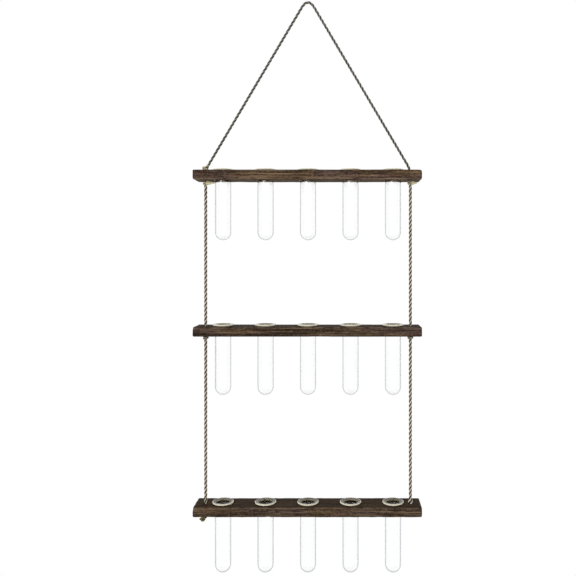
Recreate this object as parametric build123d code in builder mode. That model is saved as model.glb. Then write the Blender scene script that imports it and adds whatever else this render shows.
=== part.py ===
from build123d import *
import os
from math import asin, atan2, cos, hypot, pi, radians, sin, tan

# Three wooden bars hung one under another on a jute rope, each with a row of flanged glass tubes.
# Millimetres, +Z up, the bars along X, and the front of the vase faces -Y.
# The origin is the inside of the rope's bend, where the hook carries the vase.

# Bars, from the top one down. A drop is the height from one bar's top face to the next one's.
bar_names = ["top", "middle", "bottom"]
sling_height = 260.0
middle_drop = 240.0
bottom_drop = 275.0
bar_length = 350.0
bar_width = 45.0
bar_thickness = 15.0
bar_chamfer = 1.2

# Tubes. Their length runs from the rim's top face to the round bottom.
tubes_per_bar = 5
tube_diameter = 25.0
tube_wall = 1.5
tube_length = 110.0
rim_diameter = 33.0
rim_thickness = 2.4
tube_seat_gap = 0.3
tube_hole_clearance = 0.8
end_tube_to_rope = 27.0

# Rope, and the holes near the ends of the bars that it runs through
rope_diameter = 5.0
rope_sides = 8
hook_diameter = 12.0
rope_hole_clearance = 1.5
rope_hole_to_bar_end = 16.0
hole_bend_radius = 8.0
sling_corner_height = 2.2

# Knots: pairs of crossed turns round the rope, sized by the rope they are tied in
turn_reach_share = 1.04
turn_section_share = 0.4
turn_taper = 32.0
turn_tilt = 22.0
turn_lean_directions = [20.0, 170.0]
layer_pitch_share = 0.7
knot_seat_gap = 0.2

# The knot on top of the top bar climbs along the sling, a little to the outside of it
upper_knot_layers = 2
upper_knot_offset = 1.2
upper_knot_fit = 0.1
upper_pitch_share = 0.92

# The left knot under the bottom bar is the largest, and each layer hangs further out than the one above
bottom_left_layers = 3
bottom_left_lean_share = 0.48

# Where the rope swings under a knot, its blunt end turns in a round cup in the knot
swing_gap = 0.3
cup_rim_height = 0.7
pivot_drop = 0.8
rope_end_rise_share = 0.65
rope_end_taper = 25.0

# Loose rope ends: two short ones under the top bar, and one under each end of the bottom bar
left_side_tail = 13.0
right_side_tail = 9.5
side_tail_droop = 12.0
side_tail_root_share = 0.36
side_tail_taper = 4.0
left_hanging_tail = 2.0
right_hanging_tail = 2.5
hanging_tail_flare = 7.0

# Worked out from the sizes above
rope_radius = rope_diameter / 2
rope_x = bar_length / 2 - rope_hole_to_bar_end
tube_pitch = 2 * (rope_x - end_tube_to_rope) / (tubes_per_bar - 1)
tube_radius = tube_diameter / 2
bore_radius = tube_radius - tube_wall
tube_hole_radius = tube_radius + tube_hole_clearance
rope_hole_radius = rope_radius + rope_hole_clearance
bar_tops = [-sling_height, -sling_height - middle_drop, -sling_height - middle_drop - bottom_drop]
turn_reach = turn_reach_share * rope_diameter
turn_section = turn_section_share * rope_diameter
turn_flat_reach = turn_reach - turn_section * tan(radians(turn_taper)) / cos(pi / rope_sides)
turn_half_height = turn_section * cos(radians(turn_tilt)) + turn_flat_reach * sin(radians(turn_tilt))
layer_pitch = layer_pitch_share * rope_diameter
upper_pitch = upper_pitch_share * rope_diameter
bottom_left_lean = -bottom_left_lean_share * rope_diameter
knot_height = knot_seat_gap + 2 * turn_half_height
knot_to_pivot = knot_height + pivot_drop
rope_end_rise = rope_end_rise_share * rope_radius

os.makedirs("parts", exist_ok=True)


def save(piece, name):
    """Label a finished piece, write it, and say how many solids it holds."""
    piece.part.label = name
    export_step(piece.part, f"parts/{name}.step")
    print(f"{name}: {len(piece.part.solids())} solid, {piece.part.volume:.0f} mm3")


def upright_plane(x, z):
    """A sketch plane seen from the front, with its origin at x, z and its second axis up."""
    return Plane(origin=(x, 0, z), x_dir=(1, 0, 0), z_dir=(0, -1, 0))


def make_bar(name, top):
    """A board with a row of tube holes and a rope hole near each end, its edges eased all round."""
    with BuildPart() as bar:
        with BuildSketch(Plane.XY.offset(top - bar_thickness)) as outline:
            Rectangle(bar_length, bar_width)
            chamfer(outline.vertices(), length=bar_chamfer)
            with GridLocations(tube_pitch, bar_width, tubes_per_bar, 1):
                Circle(tube_hole_radius, mode=Mode.SUBTRACT)
            with GridLocations(2 * rope_x, bar_width, 2, 1):
                Circle(rope_hole_radius, mode=Mode.SUBTRACT)
        extrude(amount=bar_thickness)
        flat_faces = bar.faces().filter_by(Axis.Z)
        outlines = [face.outer_wire().edges() for face in flat_faces]
        chamfer([edge for outline in outlines for edge in outline], length=bar_chamfer)
    save(bar, f"{name}_bar")


def make_tube(name, x, seat):
    """A glass tube turned from one outline: round bottom, plain wall and a flat rim that carries it."""
    round_centre = rim_thickness - tube_length + tube_radius
    rim_radius = rim_diameter / 2
    with BuildPart() as tube:
        with BuildSketch(upright_plane(x, seat)):
            with BuildLine():
                CenterArc((0, round_centre), tube_radius, -90, 90)
                Line((tube_radius, round_centre), (tube_radius, 0))
                Line((tube_radius, 0), (rim_radius, 0))
                Line((rim_radius, 0), (rim_radius, rim_thickness))
                Line((rim_radius, rim_thickness), (bore_radius, rim_thickness))
                Line((bore_radius, rim_thickness), (bore_radius, round_centre))
                CenterArc((0, round_centre), bore_radius, 0, -90)
                Line((0, round_centre - bore_radius), (0, round_centre - tube_radius))
            make_face()
        revolve(axis=Axis((x, 0, seat), (0, 0, 1)))
    save(tube, name)


def sling_points():
    """The sling's route in the plane of the bars: up from one hole, over the hook and down again."""
    underside = bar_tops[0] - bar_thickness
    corner = bar_tops[0] + sling_corner_height
    hook_bend = (hook_diameter + rope_diameter) / 2
    hook_centre = -hook_diameter / 2
    reach = hypot(rope_x, hook_centre - corner)
    slope = atan2(rope_x, hook_centre - corner) - asin(hook_bend / reach)
    peak = hook_centre + hook_bend / sin(slope)
    points = [(-rope_x, underside), (-rope_x, corner), (0, peak), (rope_x, corner), (rope_x, underside)]
    return points, [hole_bend_radius, hook_bend, hole_bend_radius]


def sling_route():
    """The sling's path: straight runs joined by tangent arcs, one round the hook and one at each hole."""
    points, radii = sling_points()
    with BuildLine(Plane.XZ) as route:
        FilletPolyline(*points, radius=radii)
    return route.wire(), radii


def make_sling():
    """The rope over the hook, with both ends through the top bar."""
    route, radii = sling_route()
    with BuildPart() as sling:
        with BuildSketch(Plane.XY.offset(bar_tops[0] - bar_thickness)) as section:
            with Locations((-rope_x, 0)):
                RegularPolygon(rope_radius, rope_sides)
        sweep(path=route)
    save(sling, "sling_rope")
    print(f"sling_rope: length {route.length:.1f} mm, bend radii {radii} mm")
    print(f"sling_rope: volume over section times length "
          f"{sling.part.volume / (section.sketch.area * route.length):.4f}")


def make_side_rope(name, x, pivot, end):
    """A straight rope from the blunt end that turns in the knot above down through the next bar."""
    with BuildPart() as rope:
        with BuildSketch(Plane.XY.offset(pivot)):
            with Locations((x, 0)):
                RegularPolygon(rope_radius, rope_sides)
        extrude(amount=end - pivot)
        with BuildSketch(Plane.XY.offset(pivot)):
            with Locations((x, 0)):
                RegularPolygon(rope_radius, rope_sides)
        extrude(amount=rope_end_rise, taper=rope_end_taper)
    save(rope, name)
    print(f"{name}: length {pivot + rope_end_rise - end:.1f} mm")


def add_turns(x, middle):
    """Add one pair of crossed turns of rope, centred on x and on the height called middle."""
    for direction in turn_lean_directions:
        lean_x = sin(radians(turn_tilt)) * cos(radians(direction))
        lean_y = sin(radians(turn_tilt)) * sin(radians(direction))
        lean = (lean_x, lean_y, cos(radians(turn_tilt)))
        with BuildSketch(Plane(origin=(x, 0, middle), z_dir=lean)) as turn:
            RegularPolygon(turn_reach, rope_sides)
        extrude(turn.sketch, amount=turn_section, both=True, taper=turn_taper)


def make_knot(name, x, ceiling, layers=1, lean=0.0, side_tail=0.0, hanging_tail=0.0):
    """A knot under a bar: a core of rope, crossed turns round it, and a cup or a loose end below."""
    bottom = ceiling - knot_height - (layers - 1) * layer_pitch
    lowest_x = x + (layers - 1) * lean
    core_end = bottom - pivot_drop + cup_rim_height
    with BuildPart() as knot:
        with BuildSketch(Plane.XY.offset(core_end)):
            with Locations((x, 0)):
                RegularPolygon(rope_radius, rope_sides)
        extrude(amount=ceiling - core_end)
        for layer in range(layers):
            add_turns(x + layer * lean, ceiling - knot_seat_gap - turn_half_height - layer * layer_pitch)
        if side_tail:
            droop = radians(side_tail_droop)
            root = (x, 0, ceiling - knot_height / 2)
            with BuildSketch(Plane(origin=root, z_dir=(cos(droop), 0, -sin(droop)))):
                RegularPolygon(side_tail_root_share * rope_diameter, rope_sides)
            extrude(amount=side_tail, taper=side_tail_taper)
        if hanging_tail:
            with BuildSketch(Plane(origin=(lowest_x, 0, core_end), z_dir=(0, 0, -1))):
                RegularPolygon(rope_radius, rope_sides)
            extrude(amount=hanging_tail, taper=-hanging_tail_flare)
        else:
            with Locations((x, 0, bottom - pivot_drop)):
                Sphere(rope_radius + swing_gap, mode=Mode.SUBTRACT)
    save(knot, name)


def make_upper_knot(name):
    """The knot that sits on top of the top bar, tied round the sling, which passes through it."""
    route, _ = sling_route()
    _, (corner_x, corner), (peak_x, peak), _, _ = sling_points()[0]
    climb = (peak_x - corner_x) / (peak - corner)
    with BuildPart() as passage:
        with BuildSketch(Plane.XY.offset(bar_tops[0] - bar_thickness)):
            with Locations((-rope_x, 0)):
                RegularPolygon(rope_radius + upper_knot_fit, rope_sides)
        sweep(path=route)
    with BuildPart() as knot:
        for layer in range(upper_knot_layers):
            middle = bar_tops[0] + knot_seat_gap + turn_half_height + layer * upper_pitch
            add_turns(corner_x + (middle - corner) * climb - upper_knot_offset, middle)
        add(passage.part, mode=Mode.SUBTRACT)
    save(knot, name)


for bar_name, bar_top in zip(bar_names, bar_tops):
    make_bar(bar_name, bar_top)
    for number in range(tubes_per_bar):
        tube_x = (number - (tubes_per_bar - 1) / 2) * tube_pitch
        make_tube(f"{bar_name}_tube_{number + 1}", tube_x, bar_top + tube_seat_gap)

make_sling()
make_upper_knot("top_left_upper_knot")
for upper, lower in [(0, 1), (1, 2)]:
    rope_pivot = bar_tops[upper] - bar_thickness - knot_to_pivot
    rope_end = bar_tops[lower] - bar_thickness
    make_side_rope(f"{bar_names[lower]}_left_rope", -rope_x, rope_pivot, rope_end)
    make_side_rope(f"{bar_names[lower]}_right_rope", rope_x, rope_pivot, rope_end)

undersides = [bar_top - bar_thickness for bar_top in bar_tops]
make_knot("top_left_knot", -rope_x, undersides[0], side_tail=left_side_tail)
make_knot("top_right_knot", rope_x, undersides[0], side_tail=right_side_tail)
make_knot("middle_left_knot", -rope_x, undersides[1])
make_knot("middle_right_knot", rope_x, undersides[1])
make_knot("bottom_left_knot", -rope_x, undersides[2], bottom_left_layers, bottom_left_lean,
          hanging_tail=left_hanging_tail)
make_knot("bottom_right_knot", rope_x, undersides[2], hanging_tail=right_hanging_tail)

print(f"tube pitch {tube_pitch:.2f} mm, rope holes at {rope_x:.2f} mm from the middle")
pivots = [underside - knot_to_pivot for underside in undersides[:2]]
print(f"pivots of the swing at {pivots[0]:.3f} and {pivots[1]:.3f} mm")
print(f"sling bends {sling_points()[1]} mm, its peak before the bend at {sling_points()[0][2][1]:.3f} mm")
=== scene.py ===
import math

import bpy
import numpy as np
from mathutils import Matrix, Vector


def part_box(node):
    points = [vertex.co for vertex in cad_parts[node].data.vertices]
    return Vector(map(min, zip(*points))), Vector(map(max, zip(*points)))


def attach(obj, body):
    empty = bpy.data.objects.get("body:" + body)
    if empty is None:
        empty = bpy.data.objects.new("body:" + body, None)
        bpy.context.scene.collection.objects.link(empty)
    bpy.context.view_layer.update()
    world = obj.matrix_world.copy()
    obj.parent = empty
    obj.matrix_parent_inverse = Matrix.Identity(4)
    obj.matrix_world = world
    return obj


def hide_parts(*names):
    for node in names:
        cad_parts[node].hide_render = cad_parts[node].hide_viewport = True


# Three weathered bars on a jute rope, each with five flanged glass tubes. Metres, in the CAD model's frame.
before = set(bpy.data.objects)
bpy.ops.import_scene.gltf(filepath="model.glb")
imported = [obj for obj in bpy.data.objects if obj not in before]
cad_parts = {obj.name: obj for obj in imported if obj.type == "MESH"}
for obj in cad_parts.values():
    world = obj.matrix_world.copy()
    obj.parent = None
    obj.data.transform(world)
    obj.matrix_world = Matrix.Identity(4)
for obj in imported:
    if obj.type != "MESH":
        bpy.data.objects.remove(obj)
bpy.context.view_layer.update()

MM = 0.001
TURN = 2 * math.pi
TIERS = ["top", "middle", "bottom"]
TUBES_PER_BAR = 5

# Rope, which repeats the routes of part.py as points in the plane y = 0
ROPE_X = 0.159
ROPE_DIAMETER = 5 * MM
ROPE_LAY = 21.5 * MM
ROPE_STEP = 0.5 * MM
LEAST_STEPS = 4
ASLANT = (0.31, 0.83, 0.47)
ROUTE_RESOLUTION = 48
SLING_ROUTE = [
    (-0.159, -0.275), (-0.159, -0.2578), (-0.1502, -0.2430), (-0.0204, -0.0237), (0.0, 0.010681),
    (0.0204, -0.0237), (0.1502, -0.2430), (0.159, -0.2578), (0.159, -0.275),
]
MIDDLE_ROUTE = [(0.159, -0.2810), (0.159, -0.3110), (0.159, -0.515)]
BOTTOM_ROUTE = [(0.159, -0.5210), (0.159, -0.5510), (0.159, -0.790)]
SLING_LENGTH = 0.6472
SLING_DRAWN_SHARE = 0.84
MIDDLE_LENGTH = 0.2340
BOTTOM_LENGTH = 0.2690

# Strands of a rope and yarns of a strand
STRANDS = 3
STRAND_SHARE = 0.49
STRAND_SIDES = 24
# Painted shade on each strand: none at the first inward share and full at the second, where the strands meet
SEAM_SHADE_INWARD = (0.04, 0.30)
YARNS = 5
YARN_LAY = 12 * MM
YARN_DEPTH = 0.08
YARN_SHADE = 0.2

# Strands that splay over the bottom bar: the heights above it where that starts and is full
SPLAY_HEIGHTS = (9 * MM, 1 * MM)
SPLAY_SPREAD = 1.25 * MM
SPLAY_PALENESS = 0.85

# Hairs that stand off a rope and fibres of a frayed end, where a pair is the range of a random draw
FIBRE_SIDES = 3
FIBRE_TIP_SHARE = 0.25
HAIR_SPACING = 2.2 * MM
HAIR_REACHES = (0.5 * MM, 1.5 * MM)
HAIR_LEANS = (0.8, 2.2)
HAIR_THICKNESS = 0.035 * MM
HAIR_ROOT_SHARE = 0.8
HAIR_MARGIN = 2
HAIR_POINTS = 4
HAIR_CURVE = 1.5
HAIR_PALENESS = 0.35
HAIR_SHADE = 0.12
BRUSH_SIDEWAYS = (0.2, 1.0, 0.1)
BRUSH_POINTS = 7
BRUSH_SPREADS = (0.02, 1.0)
BRUSH_LENGTHS = (0.55, 1.0)
BRUSH_BELLIES = (0.35, 0.85)
BRUSH_ROOT = 0.75
BRUSH_SKEW = 0.7
BRUSH_TIP = 0.08
BRUSH_WANDER = 0.12
BRUSH_THICKNESSES = (0.12 * MM, 0.27 * MM)

# Knots: closed turns of the same rope, drawn tight, with a frayed end that sticks out or hangs
KNOT_RING = 2.35 * MM
KNOT_BULGE = 1.15 * MM
KNOT_ROUNDS = 2
KNOT_WEAVES = 3
KNOT_ROPE = 1.65 * MM
KNOT_LAY = 11 * MM
KNOT_STEPS = 220
KNOT_DROP = 3.5 * MM
KNOT_TILTS = (10, 20)
CORE_REACH = 2.9 * MM
CORE_PALENESS = 0.6
TAIL_ROOT = (1.5 * MM, -1.6 * MM, 0.2 * MM)
TAIL_WIDTH = 2.7 * MM
TAIL_FIBRES = 260
HANGING_ROOT = (0, 0, -2.0 * MM)
HANGING_WIDTH = 1.7 * MM
HANGING_FIBRES = 80

# The upper knot's turns, in millimetres and degrees: the middle, with its height over the knot's foot, then
# width, height, tilt, heading and the rope's radius
UPPER_KNOT_TURNS = [
    ((-161.2, -1.4, 4.1), 4.2, 4.4, 80, 75, 1.0),
    ((-158.6, 0.2, 3.0), 6.4, 6.0, 18, 20, 1.3),
    ((-157.4, -0.2, 6.6), 6.0, 6.6, 38, 175, 1.25),
]
UPPER_KNOT_PALENESS = 0.75
LOOP_WARP = 0.35 * MM

# Glass. Each of the waves that put it out of round has its lobes, its share of the radius and its lean.
GLASS_SIDES = 128
TUBE_RADIUS = 12.5 * MM
GLASS_WALL = 1.5 * MM
RIM_THICKNESS = 2.4 * MM
RIM_ROUNDING = 1.1 * MM
MOUTH_ROUNDING = 1.5 * MM
POLE_ANGLE = -89
DOME_POINTS = 24
WALL_POINTS = 16
RIM_POINTS = 7
MOUTH_POINTS = 8
WAVES = [(2, 0.0008, 25), (3, 0.0004, 50)]
# Painted shade in the glass: this share of it outside, under and on the flange, and full down the neck inside
# the hole
RIM_SHADE_SHARE = 0.8
RIM_FADE = 1 * MM
NECK_DEPTH = 10 * MM

# Wood: its noises' cells along X, Y and Z, and the sizes of grain and wear
VOXEL = 0.9 * MM
TUBE_HOLE_RADIUS = 13.3 * MM
LATTICE_SIZE = 32
LATTICE_SHIFT = 500.0
GRAIN_CELL = (22 * MM, 1.1 * MM, 1.1 * MM)
BAND_CELL = (60 * MM, 4 * MM, 4 * MM)
LUMP_CELL = (9 * MM, 5 * MM, 5 * MM)
WANDER_CELL = (28 * MM, 1 * MM, 1 * MM)
GRAIN_DEPTH = 0.28 * MM
BAND_DEPTH = 0.12 * MM
ROUNDED_DEPTH = 0.4 * MM
ROUNDED_WIDTH = 2.6 * MM
WORN_WIDTH = 3.2 * MM
END_UNWORN = 3 * MM
END_POOLED_SHARE = 0.85
HOLE_MARGIN = 1.5 * MM
HOLE_DEPTH_SHARE = 0.1
HOLE_BARE_SHARE = 0.3
CHIP_WEAR = 0.8
SPLIT_WIDTH = 1.0 * MM
SPLIT_REACH = 2 * MM
SPLIT_WANDER = 1.6 * MM
SPLIT_TAPER = 12 * MM
SPLIT_DEPTH = 0.25 * MM
SPLIT_WEAR = 0.7

# Wood: where each kind of wear, and the painted shade on upward faces, is none and where it is full, as
# distances, a slope and a share of the height
POOLED_EDGE = (2.0 * MM, 0.5 * MM)
POOLED_END = (2.8 * MM, 0.6 * MM)
END_GRAIN = (1.1 * MM, 0.3 * MM)
HOLE_WALL = (1.0 * MM, 0.1 * MM)
SPLINTER_REACH = (2.2 * MM, 0.4 * MM)
TOP_SHADE_SLOPE = (0.6, 0.9)
BARE_HEIGHT = (0.35, 0.0)

# Wood: where the noises let grain and wear show, from none to full
GRAIN_OPEN = (0.55, 0.95)
ROUNDED_LUMPS = (0.25, 0.85)
WORN_LUMPS = (0.22, 0.52)
SPLIT_LUMPS = (0.2, 0.5)
BARE_LUMPS = (0.3, 0.7)
SPLINTER_LUMPS = (0.6, 0.75)

# How each bar is worn. A chip has its place along the bar, its front edge, how far it reaches and how deep it
# cuts, and a split has its height over the underside and its two ends, all in millimetres.
BARS = {
    "top": {
        "seed": 31, "worn_side": -1, "worn_share": 1.0, "dullness": 0.2,
        "chips": [(175, "upper", 6, 1.0), (-96, "lower", 5, 0.7), (58, "upper", 4, 0.5)],
        "splits": [(4.5, -120, -92), (9, 20, 60)],
    },
    "middle": {
        "seed": 41, "worn_side": 1, "worn_share": 0.5, "dullness": 1.0,
        "chips": [(-175, "upper", 7, 1.2), (20, "lower", 5, 0.7)],
        "splits": [(9, -165, -128), (7, -96, -60), (6.5, 84, 120)],
    },
    "bottom": {
        "seed": 51, "worn_side": 1, "worn_share": 0.4, "dullness": 0.8,
        "chips": [(-175, "upper", 8, 1.4), (120, "upper", 5, 0.6), (-60, "lower", 5, 0.6)],
        "splits": [(8.5, 58, 174), (5, 66, 110), (9, -64, -18), (5.5, -60, -24)],
    },
}

# Light and floor
WORLD_LIGHT = 0.72
SUN_LIGHT = 1.1
SUN_SPREAD = 35
SUN_WAY = (0.4, 0.9, -0.28)
FLOOR_LIFT = 0.6
FLOOR_RADIUS = 0.45
FLOOR_FADE = (0.3 * FLOOR_RADIUS, 0.98 * FLOOR_RADIUS)
FLOOR_SIDES = 96
FLOOR_HEIGHT = -1.1

# Camera, as the photograph was taken: square to the bars, above the middle of the vase
CAMERA_PLACE = (0.059, -1.0675, -0.398)
CAMERA_LENS = 42.94
CAMERA_SENSOR = 36.0
CAMERA_SHIFT = (-0.1007, -0.0486)


def srgb(red, green, blue):
    """A colour given as it shows on a screen, from 0 to 255, as the linear values that a shader takes."""
    shares = [value / 255 for value in (red, green, blue)]
    linear = [share / 12.92 if share < 0.04045 else ((share + 0.055) / 1.055) ** 2.4 for share in shares]
    return (*linear, 1.0)


class Nodes:
    """Short calls that build the nodes of one material or world.

    Mixes and ramps take colours as they show on a screen.
    """

    def __init__(self, tree):
        self.tree = tree
        tree.nodes.clear()

    def feed(self, socket, value):
        if isinstance(value, bpy.types.NodeSocket):
            self.tree.links.new(value, socket)
        else:
            socket.default_value = value

    def add(self, kind, inputs=None, **settings):
        node = self.tree.nodes.new(kind)
        for name, value in settings.items():
            setattr(node, name, value)
        for name, value in (inputs or {}).items():
            self.feed(node.inputs[name], value)
        return node

    def place(self):
        return self.add("ShaderNodeTexCoord").outputs["Object"]

    def attribute(self, name, output="Fac"):
        return self.add("ShaderNodeAttribute", attribute_name=name).outputs[output]

    def scaled(self, vector, factors):
        node = self.add("ShaderNodeVectorMath", {0: vector, 1: factors}, operation="MULTIPLY")
        return node.outputs["Vector"]

    def noise(self, vector, factors, detail=4.0, roughness=0.55, distortion=0.0):
        settings = {"Vector": self.scaled(vector, factors), "Scale": 1.0, "Detail": detail,
                    "Roughness": roughness, "Distortion": distortion}
        return self.add("ShaderNodeTexNoise", settings).outputs["Fac"]

    def math(self, operation, first, second):
        return self.add("ShaderNodeMath", {0: first, 1: second}, operation=operation).outputs[0]

    def between(self, value, none, full):
        """0 at none, 1 at full, and even in between."""
        settings = {"Value": value, "From Min": none, "From Max": full}
        return self.add("ShaderNodeMapRange", settings, clamp=True).outputs["Result"]

    def spread(self, value, low, high):
        """A value from 0 to 1, spread from low to high."""
        settings = {"Value": value, "To Min": low, "To Max": high}
        return self.add("ShaderNodeMapRange", settings).outputs["Result"]

    def mix(self, share, first, second, blend="MIX"):
        node = self.add("ShaderNodeMix", data_type="RGBA", blend_type=blend)
        sockets = {socket.identifier: socket for socket in node.inputs}
        self.feed(sockets["Factor_Float"], share)
        for key, colour in [("A_Color", first), ("B_Color", second)]:
            self.feed(sockets[key], srgb(*colour) if isinstance(colour, tuple) else colour)
        return next(socket for socket in node.outputs if socket.identifier == "Result_Color")

    def ramp(self, value, stops):
        node = self.add("ShaderNodeValToRGB", {"Fac": value})
        elements = node.color_ramp.elements
        for element, (place, colour) in zip(elements, [stops[0], stops[-1]]):
            element.position = place
            element.color = srgb(*colour)
        for place, colour in stops[1:-1]:
            elements.new(place).color = srgb(*colour)
        return node.outputs["Color"]

    def bump(self, height, distance, strength):
        settings = {"Height": height, "Distance": distance, "Strength": strength}
        return self.add("ShaderNodeBump", settings).outputs["Normal"]


def new_material(name):
    material = bpy.data.materials.new(name)
    material.use_nodes = True
    return material, Nodes(material.node_tree)


def finish_material(nodes, inputs):
    """One Principled shader, with its sockets given by their names."""
    shader = nodes.add("ShaderNodeBsdfPrincipled", inputs)
    nodes.add("ShaderNodeOutputMaterial", {"Surface": shader.outputs["BSDF"]})


def stain_colour(nodes, place, streaks, pores):
    """The stain itself: purple and brown streaks, with red, grey, dark and light layers over them."""
    patches = nodes.noise(place, (22, 120, 140), detail=3.0)
    purpleness = nodes.noise(place, (9, 45, 45), detail=2.0)
    redness = nodes.noise(place, (34, 260, 290), detail=3.0)
    greyness = nodes.noise(nodes.scaled(place, (1, -1, 1)), (26, 210, 230), detail=3.0)
    fibres = nodes.noise(place, (30, 2300, 2300), detail=2.0, roughness=0.6)
    flecks = nodes.noise(place, (380, 560, 560), detail=4.0, roughness=0.7)
    lines = nodes.noise(place, (11, 480, 480), detail=3.0, roughness=0.5)
    brown = nodes.ramp(streaks, [
        (0.39, (28, 21, 14)), (0.46, (58, 46, 33)), (0.53, (86, 69, 51)), (0.62, (144, 120, 92))])
    purple = nodes.ramp(streaks, [
        (0.39, (35, 26, 28)), (0.46, (66, 52, 54)), (0.53, (90, 72, 74)), (0.62, (142, 120, 120))])
    reddish = nodes.ramp(streaks, [(0.39, (42, 27, 20)), (0.50, (86, 60, 47)), (0.62, (128, 96, 78))])
    greyish = nodes.ramp(streaks, [(0.39, (40, 35, 27)), (0.50, (78, 68, 54)), (0.62, (132, 120, 98))])
    stain = nodes.mix(nodes.between(purpleness, 0.46, 0.58), brown, purple)
    layers = [
        (redness, 0.52, 0.66, 0.7, reddish),
        (greyness, 0.52, 0.66, 0.7, greyish),
        (patches, 0.48, 0.64, 0.4, (36, 28, 22)),
        (fibres, 0.5, 0.62, 0.3, (132, 112, 92)),
        (pores, 0.52, 0.61, 0.6, (28, 21, 17)),
        (flecks, 0.53, 0.62, 0.55, (132, 110, 88)),
        (flecks, 0.47, 0.38, 0.55, (30, 23, 18)),
        (lines, 0.58, 0.64, 0.6, (146, 124, 104)),
        (lines, 0.43, 0.38, 0.6, (34, 25, 19)),
    ]
    for noise, none, full, share, colour in layers:
        stain = nodes.mix(nodes.math("MULTIPLY", nodes.between(noise, none, full), share), stain, colour)
    return nodes.mix(1.0, stain, (254, 247, 233), blend="MULTIPLY")


def weathered_colour(nodes, place, streaks, stain):
    """The stain where it is dull, worn or pooled, with painted shade on the top, and the board's end grain
    and bare wood.
    """
    dulled = nodes.mix(1.0, stain, (220, 221, 226), blend="MULTIPLY")
    stain = nodes.mix(nodes.attribute("dull"), stain, dulled)
    worn = nodes.math("MULTIPLY", nodes.attribute("wear"), nodes.between(streaks, 0.38, 0.52))
    stain = nodes.mix(worn, stain, (140, 121, 101))
    stain = nodes.mix(nodes.math("MULTIPLY", nodes.attribute("pooled"), 0.85), stain, (28, 22, 17))
    # Painted shade: faces that look up are darker and browner
    top_shade = nodes.mix(1.0, stain, (176, 168, 138), blend="MULTIPLY")
    stain = nodes.mix(nodes.attribute("top_shade"), stain, top_shade)
    rings = nodes.noise(place, (300, 300, 900), detail=4.0, distortion=1.2)
    end_grain = nodes.ramp(rings, [(0.35, (34, 27, 24)), (0.62, (84, 70, 62))])
    stain = nodes.mix(nodes.attribute("end"), stain, end_grain)
    bare_wood = nodes.ramp(streaks, [(0.38, (132, 108, 76)), (0.60, (206, 184, 146))])
    return nodes.mix(nodes.attribute("bare"), stain, bare_wood)


def wood_material():
    """Dark stained board: streaks in several browns, worn edges, painted shade on the top and bare hole
    walls.
    """
    material, nodes = new_material("stained_wood")
    place = nodes.place()
    long_streaks = nodes.noise(place, (13, 330, 330), detail=6.0, roughness=0.62, distortion=0.25)
    short_streaks = nodes.noise(place, (105, 560, 560), detail=6.0, roughness=0.7, distortion=0.4)
    halves = {"Factor": 0.5, "A": long_streaks, "B": short_streaks}
    streaks = nodes.add("ShaderNodeMix", halves).outputs["Result"]
    pores = nodes.noise(place, (60, 1500, 1500), detail=3.0, roughness=0.6)
    stain = stain_colour(nodes, place, streaks, pores)
    relief = nodes.math("ADD", streaks, nodes.math("MULTIPLY", pores, -0.5))
    finish_material(nodes, {
        "Base Color": weathered_colour(nodes, place, streaks, stain),
        "Roughness": nodes.spread(streaks, 0.6, 0.88),
        "Specular IOR Level": 0.08,
        "Normal": nodes.bump(relief, 0.7 * MM, 0.8),
    })
    return material


def glass_material():
    """Clear soda glass: colourless face on, with a thin grey outline where the wall is seen edge on, and
    painted shade round the flange and down the neck.
    """
    material, nodes = new_material("clear_glass")
    facing = nodes.add("ShaderNodeLayerWeight", {"Blend": 0.5}).outputs["Facing"]
    outline = nodes.ramp(facing, [
        (0.0, (255, 255, 255)), (0.46, (252, 253, 254)), (0.56, (190, 193, 198)),
        (0.66, (142, 146, 153)), (1.0, (72, 77, 85))])
    bore = nodes.ramp(facing, [(0.0, (255, 255, 255)), (0.6, (253, 254, 254)), (1.0, (222, 226, 230))])
    colour = nodes.mix(nodes.attribute("outside"), bore, outline)
    # Painted shade: the glass darkened round the flange and down the neck
    shaded_rim_colour = nodes.mix(1.0, colour, (122, 114, 88), blend="MULTIPLY")
    ripples = nodes.noise(nodes.place(), (160, 160, 60), detail=1.0)
    finish_material(nodes, {
        "Base Color": nodes.mix(nodes.attribute("rim"), colour, shaded_rim_colour),
        "Roughness": nodes.spread(ripples, 0.0, 0.04),
        "IOR": 1.5,
        "Transmission Weight": 1.0,
        "Normal": nodes.bump(ripples, 0.06 * MM, 0.3),
    })
    return material


def rim_material():
    """The ground edge of a tube's flange: milky, cream and uneven, and only a quarter clear."""
    material, nodes = new_material("ground_rim")
    grinding = nodes.noise(nodes.place(), (700, 700, 1600), detail=3.0)
    finish_material(nodes, {
        "Base Color": nodes.ramp(grinding, [(0.35, (242, 232, 200)), (0.62, (255, 251, 230))]),
        "Roughness": nodes.spread(grinding, 0.2, 0.45),
        "IOR": 1.5,
        "Transmission Weight": 0.25,
        "Normal": nodes.bump(grinding, 0.05 * MM, 0.5),
    })
    return material


def jute_material(name, dark, middle, light, groove):
    """Twisted bast fibre: streaks along each yarn, painted shade between the strands and paler where it is
    frayed.
    """
    material, nodes = new_material(name)
    fibre = nodes.attribute("fibre", "Vector")
    streaks = nodes.noise(fibre, (450, 5200, 5200), detail=3.0, roughness=0.6)
    blotches = nodes.noise(fibre, (130, 600, 600), detail=2.0)
    yarn = nodes.ramp(streaks, [(0.32, dark), (0.50, middle), (0.68, light)])
    yarn = nodes.mix(nodes.between(blotches, 0.45, 0.62), yarn, nodes.mix(0.5, yarn, light))
    yarn = nodes.mix(nodes.attribute("pale"), yarn, light)
    finish_material(nodes, {
        # Painted shade: the groove colour, laid where the strands meet
        "Base Color": nodes.mix(nodes.attribute("crevice"), yarn, groove),
        "Roughness": 0.92,
        "Specular IOR Level": 0.15,
        "Sheen Weight": 0.15,
        "Sheen Roughness": 0.5,
        "Normal": nodes.bump(streaks, 0.12 * MM, 0.8),
    })
    return material


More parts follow.
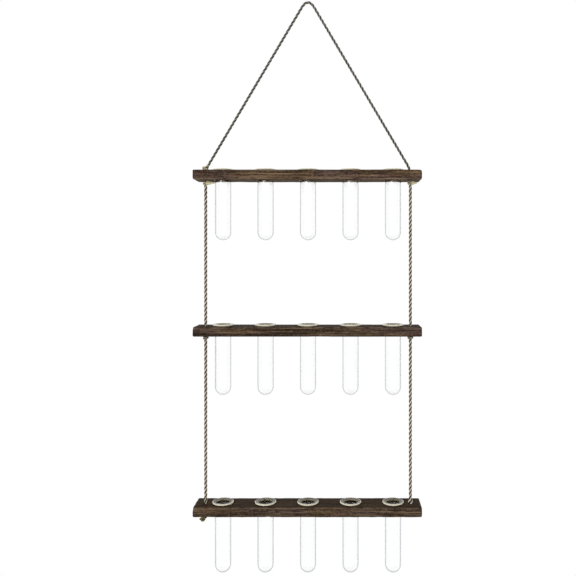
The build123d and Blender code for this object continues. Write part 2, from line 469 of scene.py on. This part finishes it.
def seen_rays(nodes):
    """1 where the surroundings are looked at, straight or through glass, and 0 where they give light."""
    path = nodes.add("ShaderNodeLightPath").outputs
    seen = nodes.math("MAXIMUM", path["Is Camera Ray"], path["Is Glossy Ray"])
    return nodes.math("MAXIMUM", seen, path["Is Transmission Ray"])


def floor_material():
    """Pale and matt, lifted towards white where it is looked at, so that the glass above it stays clear."""
    material, nodes = new_material("pale_floor")
    paint = nodes.add("ShaderNodeBsdfPrincipled", {"Base Color": srgb(240, 240, 238), "Roughness": 0.9})
    glow = nodes.add("ShaderNodeEmission", {"Color": (1.0, 1.0, 1.0, 1.0), "Strength": 1.0})
    outward = nodes.add("ShaderNodeVectorMath", {0: nodes.place()}, operation="LENGTH").outputs["Value"]
    settings = {"Value": outward, "From Min": FLOOR_FADE[0], "From Max": FLOOR_FADE[1],
                "To Min": FLOOR_LIFT, "To Max": 1.0}
    lift = nodes.add("ShaderNodeMapRange", settings, interpolation_type="SMOOTHSTEP").outputs["Result"]
    share = nodes.math("MULTIPLY", seen_rays(nodes), lift)
    both = nodes.add("ShaderNodeMixShader", {0: share, 1: paint.outputs["BSDF"], 2: glow.outputs["Emission"]})
    nodes.add("ShaderNodeOutputMaterial", {"Surface": both.outputs["Shader"]})
    return material


class Shape:
    """Points, faces and point values gathered into one mesh."""

    def __init__(self):
        self.points = []
        self.faces = []
        self.values = {}
        self.count = 0

    def add(self, points, faces, values):
        self.points.append(points)
        self.faces.extend(faces)
        for name, value in values.items():
            self.values.setdefault(name, []).append(value)
        self.count += len(points)

    def piece(self, name, material, body, slot, nodes):
        """The gathered mesh as a piece that rides on a body and stands for CAD nodes."""
        mesh = bpy.data.meshes.new(name)
        mesh.from_pydata(np.concatenate(self.points).tolist(), [], self.faces)
        for value_name, parts in self.values.items():
            set_point_values(mesh, value_name, np.concatenate(parts))
        return place_piece(mesh, name, material, body, nodes)


def set_point_values(mesh, name, values):
    kind, key = ("FLOAT_VECTOR", "vector") if values.ndim == 2 else ("FLOAT", "value")
    attribute = mesh.attributes.new(name, kind, "POINT")
    attribute.data.foreach_set(key, np.ascontiguousarray(values, np.float32).ravel())


def new_object(name, data):
    holder = bpy.data.objects.new(name, data)
    bpy.context.scene.collection.objects.link(holder)
    return holder


def place_piece(mesh, name, material, body, nodes):
    mesh.materials.clear()
    mesh.materials.append(material)
    mesh.shade_smooth()
    mesh.validate()
    piece = new_object(name, mesh)
    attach(piece, body)
    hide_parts(*nodes)
    return piece


def skin(shape, rings, closed=False, **values):
    """Faces over a run of rings, with a fan over each end where the run isn't closed.

    Each value is given for the whole run, for each ring, or for each point of each ring.
    """
    count, sides, _ = rings.shape
    ring = np.arange(count if closed else count - 1)[:, None]
    side = np.arange(sides)[None, :]
    this_row = ring * sides
    next_row = (ring + 1) % count * sides
    next_side = (side + 1) % sides
    corners = [this_row + side, this_row + next_side, next_row + next_side, next_row + side]
    faces = (np.stack(corners, axis=-1).reshape(-1, 4) + shape.count).tolist()
    if not closed:
        start = shape.count + count * sides
        last = start - sides
        for index in range(sides):
            following = (index + 1) % sides
            faces.append([start, shape.count + following, shape.count + index])
            faces.append([start + 1, last + index, last + following])

    def listed(value):
        """One value for each point, and then for the middle of each open end."""
        value = np.asarray(value, float)
        value = np.broadcast_to(value, (count, sides, *value.shape[2:]))
        ends = [] if closed else [[value[0].mean(axis=0), value[-1].mean(axis=0)]]
        return np.concatenate([value.reshape(count * sides, *value.shape[2:]), *ends])

    shape.add(listed(rings), faces, {name: listed(value) for name, value in values.items()})


def smooth_step(value):
    share = np.clip(value, 0.0, 1.0)
    return share * share * (3 - 2 * share)


def eased(value, none, full):
    """0 at none and beyond, 1 at full and beyond, and smooth in between; full may be the lower one."""
    return smooth_step((value - none) / (full - none))


def unit(vectors):
    return vectors / np.linalg.norm(vectors, axis=-1, keepdims=True)


def slopes(points, closed):
    """Unit directions along a line of points."""
    if closed:
        return unit(np.roll(points, -1, axis=0) - np.roll(points, 1, axis=0))
    return unit(np.gradient(points, axis=0))


def carried_normals(points, closed):
    """Directions along a line and two normals at each point, carried along it without twisting."""
    tangents = slopes(points, closed)
    side = np.cross(tangents[0], ASLANT)
    normals = np.empty_like(points)
    for index, tangent in enumerate(tangents):
        side = unit(side - tangent * np.dot(side, tangent))
        normals[index] = side
    return tangents, normals, np.cross(tangents, normals)


def closing_turn(tangents, normals, others):
    """The angle by which the carried normals of a closed line miss their start."""
    side = normals[-1] - tangents[0] * np.dot(normals[-1], tangents[0])
    return math.atan2(np.dot(side, others[0]), np.dot(side, normals[0]))


def even_line(points, spacing):
    """The same line with its points evenly spaced."""
    steps = np.linalg.norm(np.diff(points, axis=0), axis=1)
    run = np.concatenate([[0.0], np.cumsum(steps)])
    places = np.linspace(0.0, run[-1], max(int(round(run[-1] / spacing)), LEAST_STEPS) + 1)
    return np.stack([np.interp(places, run, points[:, axis]) for axis in range(3)], axis=1)


def round_rings(line, reach, first, second, angle):
    """Rings of points round a line, at angles from its first normals towards its second ones."""
    ways = np.cos(angle)[:, None] * first[:, None, :] + np.sin(angle)[:, None] * second[:, None, :]
    return line[:, None, :] + reach[:, :, None] * ways


def lay_rope(shape, line, radius, lay, closed=False, spread=0.0, pale=0.0):
    """Three strands twisted round a line of even points, each ridged by the yarns in it."""
    tangents, normals, others = carried_normals(line, closed)
    count = len(line)
    step = np.linalg.norm(line[1] - line[0])
    run = np.arange(count) * step
    turns = run / lay
    yarn_turns = run / YARN_LAY
    if closed:
        shares = np.arange(count) / count
        whole_turns = max(round(count * step / lay), 1)
        turns = shares * (whole_turns - closing_turn(tangents, normals, others) / TURN)
        yarn_turns = shares * round(run[-1] / YARN_LAY)
    strand_radius = STRAND_SHARE * radius
    offset = radius - strand_radius + spread + np.zeros(count)
    angle = TURN * (np.arange(STRAND_SIDES) / STRAND_SIDES + 0.5)
    twisted = angle[None, :] + TURN * yarn_turns[:, None]
    groove = 0.5 - 0.5 * np.cos(YARNS * twisted)
    reach = strand_radius * (1 - YARN_DEPTH * groove)
    inward = 0.5 - 0.5 * np.cos(angle)[None, :]
    # Painted shade: each strand darker on its inward side, where the strands meet, and a little in its yarn
    # grooves
    crevice = np.clip(eased(inward, *SEAM_SHADE_INWARD) + YARN_SHADE * groove ** 3, 0, 1)
    for strand in range(STRANDS):
        phase = TURN * (turns + strand / STRANDS)[:, None]
        outward = np.cos(phase) * normals + np.sin(phase) * others
        centre = line + offset[:, None] * outward
        along = slopes(centre, closed)
        outward = unit(outward - along * np.sum(outward * along, axis=1, keepdims=True))
        rings = round_rings(centre, reach, outward, np.cross(along, outward), angle)
        fibre = np.stack([
            run[:, None] + strand + 0 * twisted,
            strand_radius * np.cos(twisted),
            strand_radius * np.sin(twisted)], axis=-1)
        skin(shape, rings, closed, fibre=fibre, crevice=crevice, pale=pale)


def add_fibre(shape, line, thickness, variant, pale, crevice):
    """One loose fibre, thinning out to its tip. Its variant, from 0 to 1, picks its streaks."""
    _, normals, others = carried_normals(line, False)
    angle = TURN * np.arange(FIBRE_SIDES) / FIBRE_SIDES
    reach = thickness * np.linspace(1.0, FIBRE_TIP_SHARE, len(line))
    fibre = np.full((len(line), 1, 3), variant)
    fibre[:, 0, 0] = np.arange(len(line)) * MM
    rings = round_rings(line, reach[:, None], normals, others, angle)
    skin(shape, rings, fibre=fibre, crevice=crevice, pale=pale)


def add_hairs(shape, line, radius, count, random):
    """Short hairs that stand off a rope."""
    tangents, normals, others = carried_normals(line, False)
    shares = np.linspace(0, 1, HAIR_POINTS)[:, None]
    for _ in range(count):
        index = random.integers(HAIR_MARGIN, len(line) - HAIR_MARGIN)
        angle = random.uniform(0, TURN)
        outward = math.cos(angle) * normals[index] + math.sin(angle) * others[index]
        lean = random.uniform(*HAIR_LEANS) * random.choice([-1, 1])
        root = line[index] + HAIR_ROOT_SHARE * radius * outward
        reach = random.uniform(*HAIR_REACHES)
        hair = root + reach * (shares * outward + lean * shares ** HAIR_CURVE * tangents[index])
        add_fibre(shape, hair, HAIR_THICKNESS, random.uniform(0, 1), HAIR_PALENESS, HAIR_SHADE)


def add_brush(shape, root, reach_out, width, count, random, pale):
    """A frayed rope end: fibres that leave together, belly out and draw in to a ragged point."""
    length = np.linalg.norm(reach_out)
    direction = np.array(reach_out) / length
    first = unit(np.cross(direction, BRUSH_SIDEWAYS))
    second = np.cross(direction, first)
    shares = np.linspace(0, 1, BRUSH_POINTS)[:, None]
    for _ in range(count):
        angle = random.uniform(0, TURN)
        reach = width * math.sqrt(random.uniform(*BRUSH_SPREADS))
        outward = math.cos(angle) * first + math.sin(angle) * second
        belly = random.uniform(*BRUSH_BELLIES)
        wander = random.normal(0, BRUSH_WANDER, 3) * width
        bulge = BRUSH_ROOT + belly * np.sin(math.pi * shares ** BRUSH_SKEW)
        swell = bulge * (1 - shares) ** BRUSH_SKEW + BRUSH_TIP
        line = root + direction * length * random.uniform(*BRUSH_LENGTHS) * shares
        line = line + outward * reach * swell + wander * shares ** 2
        thickness = random.uniform(*BRUSH_THICKNESSES)
        add_fibre(shape, line, thickness, random.uniform(0, 1), pale, crevice=0.0)


def spline_line(name, route, spacing):
    """Even points on the smooth line whose control points are a route in the plane y = 0."""
    curve = bpy.data.curves.new(name, "CURVE")
    curve.dimensions = "3D"
    curve.resolution_u = ROUTE_RESOLUTION
    spline = curve.splines.new("NURBS")
    spline.points.add(len(route) - 1)
    for point, (x, z) in zip(spline.points, route):
        point.co = (x, 0.0, z, 1.0)
    spline.order_u = 3
    spline.use_endpoint_u = True
    holder = new_object(name, curve)
    bpy.context.view_layer.update()
    read = bpy.data.meshes.new_from_object(holder.evaluated_get(bpy.context.evaluated_depsgraph_get()))
    points = np.array([vertex.co[:] for vertex in read.vertices])
    bpy.data.objects.remove(holder)
    bpy.data.curves.remove(curve)
    bpy.data.meshes.remove(read)
    return even_line(points, spacing)


def mirrored(route):
    return [(-x, z) for x, z in route]


def make_rope(tier, node, route, length, material, seed, drawn_share=1.0, splay_above=None):
    """One taut stretch of rope along its route; what pulls on it draws it thinner.

    Its strands splay just over the height splay_above, where that is given.
    """
    random = np.random.default_rng(seed)
    line = spline_line(f"{node}_route", route, ROPE_STEP)
    spread, pale = 0.0, 0.0
    if splay_above is not None:
        near = eased(line[:, 2] - splay_above, *SPLAY_HEIGHTS)
        spread = SPLAY_SPREAD * near
        pale = (SPLAY_PALENESS * near)[:, None]
    shape = Shape()
    radius = drawn_share * ROPE_DIAMETER / 2
    lay_rope(shape, line, radius, ROPE_LAY, spread=spread, pale=pale)
    add_hairs(shape, line, radius, int(length / HAIR_SPACING), random)
    piece = shape.piece(f"{node}_twist", material, f"{tier}_tier", "jute_rope", [node])
    return piece


def turned(line, tilt, heading):
    """Points about zero, leaned over and then turned about the upright, both in degrees."""
    lean, turn = math.radians(tilt), math.radians(heading)
    about_y = np.array([[math.cos(lean), 0, math.sin(lean)], [0, 1, 0], [-math.sin(lean), 0, math.cos(lean)]])
    about_z = np.array([[math.cos(turn), -math.sin(turn), 0], [math.sin(turn), math.cos(turn), 0], [0, 0, 1]])
    return line @ about_y.T @ about_z.T


def knot_line(centre, tilt, heading):
    """A closed line that goes twice round its middle and weaves over and under itself three times."""
    angle = np.linspace(0, TURN, KNOT_STEPS, endpoint=False)
    around = KNOT_ROUNDS * angle
    weave = KNOT_WEAVES * angle
    reach = KNOT_RING + KNOT_BULGE * np.cos(weave)
    line = np.stack([reach * np.cos(around), reach * np.sin(around), KNOT_BULGE * np.sin(weave)], axis=1)
    return turned(line, tilt, heading) + np.array(centre)


def loop_line(centre, width, height, tilt, heading):
    """A closed oval turn round a middle, slightly warped, leaned over and then turned about the upright."""
    angle = np.linspace(0, TURN, KNOT_STEPS, endpoint=False)
    oval = [width / 2 * np.cos(angle), height / 2 * np.sin(angle), LOOP_WARP * np.sin(2 * angle)]
    return turned(np.stack(oval, axis=1), tilt, heading) + np.array(centre)


def make_knot(tier, side, material, seed, turns=1, lean=0.0, tail=None, hanging=0.0, pale=0.6):
    """A knot under a bar: turns round the rope that comes down through the hole, and its loose end.

    Each further turn lies lower and further along by lean. The end sticks out by tail, or hangs so far down.
    """
    node = f"{tier}_{side}_knot"
    _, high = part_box(node)
    bar_low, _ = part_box(f"{tier}_bar")
    x = -ROPE_X if side == "left" else ROPE_X
    centres = [(x + layer * lean, 0, bar_low.z - KNOT_DROP * (layer + 1)) for layer in range(turns)]
    lowest = np.array(centres[-1])
    random = np.random.default_rng(seed)
    shape = Shape()
    core = even_line(np.array([(x, 0, high.z), lowest - (0, 0, CORE_REACH)]), ROPE_STEP)
    lay_rope(shape, core, ROPE_DIAMETER / 2, ROPE_LAY, pale=CORE_PALENESS * pale)
    for centre in centres:
        line = knot_line(centre, random.uniform(*KNOT_TILTS), random.uniform(0, 360))
        lay_rope(shape, line, KNOT_ROPE, KNOT_LAY, closed=True, pale=pale)
    if tail:
        add_brush(shape, lowest + TAIL_ROOT, tail, TAIL_WIDTH, TAIL_FIBRES, random, 1.0)
    if hanging:
        add_brush(shape, lowest + HANGING_ROOT, (0, 0, -hanging), HANGING_WIDTH, HANGING_FIBRES, random, pale)
    return shape.piece(f"{node}_tied", material, f"{tier}_tier", "jute_knot", [node])


def make_upper_knot(material):
    """The knot on top of the top bar: one turn that faces the front and two that climb along the sling."""
    node = "top_left_upper_knot"
    low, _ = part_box(node)
    shape = Shape()
    for (x, y, rise), width, height, tilt, heading, thickness in UPPER_KNOT_TURNS:
        line = loop_line((x * MM, y * MM, low.z + rise * MM), width * MM, height * MM, tilt, heading)
        lay_rope(shape, line, thickness * MM, KNOT_LAY, closed=True, pale=UPPER_KNOT_PALENESS)
    return shape.piece(f"{node}_tied", material, "top_tier", "jute_knot", [node])


def arc(middle_radius, middle_height, reach, start, stop, points):
    """A round stretch of an outline as radius and height, between angles in degrees: 0 is outward, 90 up."""
    angles = np.radians(np.linspace(start, stop, points))
    return [(middle_radius + reach * math.cos(a), middle_height + reach * math.sin(a)) for a in angles]


def upright(radius, start, stop):
    """A straight wall of an outline between two heights, without its first point."""
    return [(radius, height) for height in np.linspace(start, stop, WALL_POINTS)[1:]]


def glass_profile(seat, rim_top, bottom, rim_radius):
    """The tube's outline from the outer pole over the rim and down to the inner pole, as radius and height.

    With it come which points are outside and the first and last of the points round the flange's edge.
    """
    bore = TUBE_RADIUS - GLASS_WALL
    dome = bottom + TUBE_RADIUS
    edge = rim_radius - RIM_ROUNDING
    body = arc(0, dome, TUBE_RADIUS, POLE_ANGLE, 0, DOME_POINTS) + upright(TUBE_RADIUS, dome, seat)
    under = arc(edge, seat + RIM_ROUNDING, RIM_ROUNDING, -90, 0, RIM_POINTS)
    over = arc(edge, rim_top - RIM_ROUNDING, RIM_ROUNDING, 0, 90, RIM_POINTS)
    mouth_height = rim_top - MOUTH_ROUNDING
    mouth = arc(bore + MOUTH_ROUNDING, mouth_height, MOUTH_ROUNDING, 90, 180, MOUTH_POINTS)
    inside = mouth + upright(bore, mouth_height, dome) + arc(0, dome, bore, 0, POLE_ANGLE, DOME_POINTS)[1:]
    outside = body + under + over
    is_outside = np.array([1.0] * len(outside) + [0.0] * len(inside))
    return np.array(outside + inside), is_outside, (len(body), len(outside) - 1)


def make_tube(tier, number, material, edge_material):
    """A tube turned from its outline, a hair out of round as blown glass is, with a ground flange edge."""
    node = f"{tier}_tube_{number}"
    low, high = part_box(node)
    middle = (low.x + high.x) / 2
    seat = high.z - RIM_THICKNESS
    profile, outside, (edge_start, edge_stop) = glass_profile(seat, high.z, low.z, (high.x - low.x) / 2)
    heights = profile[:, 1:]
    random = np.random.default_rng(100 + number + 10 * TIERS.index(tier))
    around = TURN * np.arange(GLASS_SIDES) / GLASS_SIDES
    uneven = np.ones((len(profile), GLASS_SIDES))
    for (lobes, share, lean), start in zip(WAVES, random.uniform(0, TURN, len(WAVES))):
        uneven -= share * (1 + np.sin(lobes * around + start + lean * heights))
    radius = profile[:, :1] * uneven
    rings = [middle + radius * np.cos(around), radius * np.sin(around), heights * np.ones(GLASS_SIDES)]
    outside = outside[:, None]
    # Painted shade: the glass darker under and on the flange outside, and down the neck inside the hole
    rim = RIM_SHADE_SHARE * outside * eased(heights, seat - RIM_FADE, seat)
    rim = rim + (1 - outside) * eased(heights, seat - NECK_DEPTH, seat)
    shape = Shape()
    skin(shape, np.stack(rings, axis=-1), outside=outside, rim=rim)
    piece = shape.piece(f"{node}_glass", material, node, "clear_glass", [node])
    piece.data.materials.append(edge_material)
    which = np.zeros(len(piece.data.polygons), np.int32)
    which[edge_start * GLASS_SIDES:edge_stop * GLASS_SIDES] = 1
    piece.data.polygons.foreach_set("material_index", which)
    return piece


def lattice_noise(points, cell, seed):
    """Smooth seeded noise from 0 to 1, whose cells have the given sizes along X, Y and Z."""
    table = np.random.default_rng(seed).random((LATTICE_SIZE, LATTICE_SIZE, LATTICE_SIZE))
    place = points / np.array(cell) + LATTICE_SHIFT
    corner = np.floor(place).astype(int)
    share = smooth_step(place - corner)
    total = np.zeros(len(points))
    for offset in np.ndindex(2, 2, 2):
        index = (corner + offset) % LATTICE_SIZE
        weight = np.prod(np.where(offset, share, 1 - share), axis=1)
        total += weight * table[index[:, 0], index[:, 1], index[:, 2]]
    return total


def remeshed(source):
    """A fine even copy of a CAD node's mesh, with its edges softened."""
    holder = new_object("board", source.data.copy())
    remesh = holder.modifiers.new("remesh", "REMESH")
    remesh.mode = "VOXEL"
    remesh.voxel_size = VOXEL
    soften = holder.modifiers.new("soften", "SMOOTH")
    soften.factor = 0.5
    soften.iterations = 1
    mesh = bpy.data.meshes.new_from_object(holder.evaluated_get(bpy.context.evaluated_depsgraph_get()))
    bpy.data.objects.remove(holder)
    return mesh


def read_vectors(items, key):
    """One vector of each item of a mesh, as rows."""
    values = np.empty(3 * len(items))
    items.foreach_get(key, values)
    return values.reshape(-1, 3)


def hole_distance(tier, points):
    """How far outside the nearest tube's hole each point lies."""
    boxes = [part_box(f"{tier}_tube_{number + 1}") for number in range(TUBES_PER_BAR)]
    middles = [(low.x + high.x) / 2 for low, high in boxes]
    return np.min([np.hypot(points[:, 0] - x, points[:, 1]) for x in middles], axis=0) - TUBE_HOLE_RADIUS


class Board:
    """A bar's fine surface: each point's place and noises, and how deep it is cut and worn so far."""

    def __init__(self, tier, seed):
        self.low, self.high = (np.array(corner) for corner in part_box(f"{tier}_bar"))
        self.mesh = remeshed(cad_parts[f"{tier}_bar"])
        self.points = read_vectors(self.mesh.vertices, "co")
        self.normals = read_vectors(self.mesh.vertex_normals, "vector")
        self.inside = np.minimum(self.points - self.low, self.high - self.points)
        along, across, up = self.inside.T
        self.end_edge = np.hypot(along, np.minimum(across, up))
        self.edge = np.minimum(np.hypot(across, up), self.end_edge)
        self.height = (self.points[:, 2] - self.low[2]) / (self.high[2] - self.low[2])
        self.from_hole = hole_distance(tier, self.points)
        self.grain = lattice_noise(self.points, GRAIN_CELL, seed)
        self.bands = lattice_noise(self.points, BAND_CELL, seed + 1)
        self.lumps = lattice_noise(self.points, LUMP_CELL, seed + 2)
        self.wander = lattice_noise(self.points * (1, 0, 0), WANDER_CELL, seed + 3) - 0.5
        self.depth = np.zeros(len(self.points))
        self.wear = np.zeros(len(self.points))


def open_grain(board):
    """Fine grooves along the board, deeper in some bands than in others."""
    groove = eased(board.grain, *GRAIN_OPEN) * (0.5 + board.bands)
    board.depth += GRAIN_DEPTH * groove + BAND_DEPTH * board.bands


def wear_edges(board, worn_side, worn_share):
    """Round the edges and wear them pale on one side. Gives how far stain is pooled, and painted shade on the
    top.
    """
    board.depth += ROUNDED_DEPTH * eased(board.edge, ROUNDED_WIDTH, 0) * eased(board.lumps, *ROUNDED_LUMPS)
    worn_half = smooth_step(0.5 + 3 * worn_side * (board.height - 0.5))
    wear = worn_half * eased(board.edge, WORN_WIDTH, 0) * eased(board.lumps, *WORN_LUMPS)
    # Painted shade on faces that look up, but not where the edges are worn
    top_shade = eased(board.normals[:, 2], *TOP_SHADE_SLOPE) * (1 - wear)
    pooled = (1 - worn_half) * eased(board.edge, *POOLED_EDGE)
    pooled = np.maximum(pooled, END_POOLED_SHARE * eased(board.end_edge, *POOLED_END))
    board.wear = wear * (worn_share * eased(board.end_edge, 0, END_UNWORN))
    return pooled, top_shade


def cut_chips(board, chips):
    """Break chips out of the front edges, pale where they are broken."""
    for x, edge, reach, cut in chips:
        corner = board.high if edge == "upper" else board.low
        place = np.array([x * MM, board.low[1], corner[2]])
        near = eased(np.linalg.norm(board.points - place, axis=1), reach * MM, 0)
        board.depth += cut * MM * near
        board.wear = np.maximum(board.wear, CHIP_WEAR * near)


def cut_splits(board, splits):
    """Open pale splits along the front face, each wandering a little and thinning out at its ends."""
    x, y, z = board.points.T
    front = eased(board.inside[:, 1], SPLIT_REACH, 0) * (y < 0)
    for height, start, stop in splits:
        middle = board.low[2] + height * MM + SPLIT_WANDER * board.wander
        line = front * eased(np.abs(z - middle), SPLIT_WIDTH, 0)
        line *= eased(x, start * MM, start * MM + SPLIT_TAPER) * eased(x, stop * MM, stop * MM - SPLIT_TAPER)
        board.depth += SPLIT_DEPTH * line
        board.wear = np.maximum(board.wear, SPLIT_WEAR * line * eased(board.lumps, *SPLIT_LUMPS))


def bare_share(board):
    """How bare each point is: the holes' walls, and splinters round the holes' lower edges."""
    in_hole = eased(board.from_hole, *HOLE_WALL)
    below = eased(board.height, *BARE_HEIGHT)
    splintered = eased(board.from_hole, *SPLINTER_REACH) * eased(board.lumps, *SPLINTER_LUMPS)
    torn = below * np.maximum(in_hole * eased(board.lumps, *BARE_LUMPS), splintered)
    return np.maximum(HOLE_BARE_SHARE * in_hole, torn)


def make_bar(tier, material, seed, worn_side, worn_share, dullness, chips, splits):
    """A weathered board: open grain, worn edges, chips and splits, all cut into the CAD board's surface.

    Its upper edges are worn pale where worn_side is 1, and its lower ones where it is -1; stain pools in the
    rest. A dull board has taken more stain all over.
    """
    board = Board(tier, seed)
    open_grain(board)
    pooled, top_shade = wear_edges(board, worn_side, worn_share)
    cut_chips(board, chips)
    cut_splits(board, splits)
    clear_of_hole = eased(board.from_hole, 0, HOLE_MARGIN)
    depth = board.depth * (HOLE_DEPTH_SHARE + (1 - HOLE_DEPTH_SHARE) * clear_of_hole)
    moved = board.points - board.normals * depth[:, None]
    board.mesh.vertices.foreach_set("co", moved.ravel())
    values = {
        "wear": board.wear,
        "pooled": pooled,
        "top_shade": top_shade,
        "bare": bare_share(board),
        "end": eased(board.inside[:, 0], *END_GRAIN),
        "dull": np.full(len(moved), dullness),
    }
    for name, value in values.items():
        set_point_values(board.mesh, name, value)
    node = f"{tier}_bar"
    return place_piece(board.mesh, f"{node}_wood", material, f"{tier}_tier", [node])


def make_floor():
    """A pale round floor under the vase, below the photograph's view, that fades into the white around it."""
    angles = TURN * np.arange(FLOOR_SIDES) / FLOOR_SIDES
    points = np.stack([FLOOR_RADIUS * np.cos(angles), FLOOR_RADIUS * np.sin(angles), 0 * angles], axis=1)
    mesh = bpy.data.meshes.new("floor")
    mesh.from_pydata(points.tolist(), [], [list(range(FLOOR_SIDES))])
    mesh.materials.append(floor_material())
    floor = new_object("floor", mesh)
    floor.location.z = FLOOR_HEIGHT


def make_world():
    """An even white studio: full white where it is seen, a plain level where it lights the vase."""
    world = bpy.data.worlds.new("studio")
    bpy.context.scene.world = world
    world.use_nodes = True
    nodes = Nodes(world.node_tree)
    level = nodes.spread(seen_rays(nodes), WORLD_LIGHT, 1.0)
    background = nodes.add("ShaderNodeBackground", {"Color": (1.0, 1.0, 1.0, 1.0), "Strength": level})
    nodes.add("ShaderNodeOutputWorld", {"Surface": background.outputs["Background"]})


def make_sun():
    """One broad soft light from the upper left, in front."""
    light = bpy.data.lights.new("key", "SUN")
    light.energy = SUN_LIGHT
    light.angle = math.radians(SUN_SPREAD)
    holder = new_object("key", light)
    holder.rotation_mode = "QUATERNION"
    holder.rotation_quaternion = Vector(SUN_WAY).to_track_quat("-Z", "Y")


def make_camera():
    data = bpy.data.cameras.new("camera")
    data.lens = CAMERA_LENS
    data.sensor_width = CAMERA_SENSOR
    data.shift_x, data.shift_y = CAMERA_SHIFT
    camera = new_object("camera", data)
    camera.location = CAMERA_PLACE
    camera.rotation_euler = (math.radians(90), 0, 0)
    bpy.context.scene.camera = camera


make_camera()
make_world()
make_sun()
make_floor()
bpy.context.scene.view_settings.view_transform = "Standard"

# Each jute's screen colours: its dark, middle and light fibres, and the painted shade in the grooves between
# its strands
SLING_JUTE = jute_material("sling_jute", (86, 84, 76), (124, 121, 111), (178, 174, 162), (50, 48, 42))
SIDE_JUTE = jute_material("side_jute", (118, 104, 82), (190, 180, 160), (252, 242, 224), (46, 36, 22))
KNOT_JUTE = jute_material("knot_jute", (192, 168, 134), (230, 211, 174), (255, 246, 212), (104, 80, 52))
# Painted shade: a darkened copy of the jute for the knots that hang in shade under the bottom bar
SHADED_KNOT_JUTE = jute_material("shaded_knot_jute", (84, 68, 38), (122, 103, 62), (180, 160, 112), (50, 38, 20))
WOOD = wood_material()
GLASS = glass_material()
GROUND_RIM = rim_material()

make_rope("top", "sling_rope", SLING_ROUTE, SLING_LENGTH, SLING_JUTE, 11, drawn_share=SLING_DRAWN_SHARE)
make_rope("middle", "middle_left_rope", mirrored(MIDDLE_ROUTE), MIDDLE_LENGTH, SIDE_JUTE, 12)
make_rope("middle", "middle_right_rope", MIDDLE_ROUTE, MIDDLE_LENGTH, SIDE_JUTE, 13)
make_rope("bottom", "bottom_left_rope", mirrored(BOTTOM_ROUTE), BOTTOM_LENGTH, SIDE_JUTE, 14)
make_rope("bottom", "bottom_right_rope", BOTTOM_ROUTE, BOTTOM_LENGTH, SIDE_JUTE, 15,
          splay_above=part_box("bottom_bar")[1].z)
make_upper_knot(KNOT_JUTE)
make_knot("top", "left", KNOT_JUTE, 21, tail=(14.5 * MM, -5.5 * MM, -0.8 * MM))
make_knot("top", "right", KNOT_JUTE, 22, tail=(9.0 * MM, -2.0 * MM, -0.4 * MM))
make_knot("middle", "left", SIDE_JUTE, 23, pale=0.2)
make_knot("middle", "right", SIDE_JUTE, 24, pale=0.2)
make_knot("bottom", "left", SHADED_KNOT_JUTE, 25, turns=3, lean=-2.4 * MM, hanging=2 * MM, pale=0.2)
make_knot("bottom", "right", SHADED_KNOT_JUTE, 26, hanging=2.5 * MM, pale=0.1)
for tier in TIERS:
    make_bar(tier, WOOD, **BARS[tier])
    for number in range(1, TUBES_PER_BAR + 1):
        make_tube(tier, number, GLASS, GROUND_RIM)
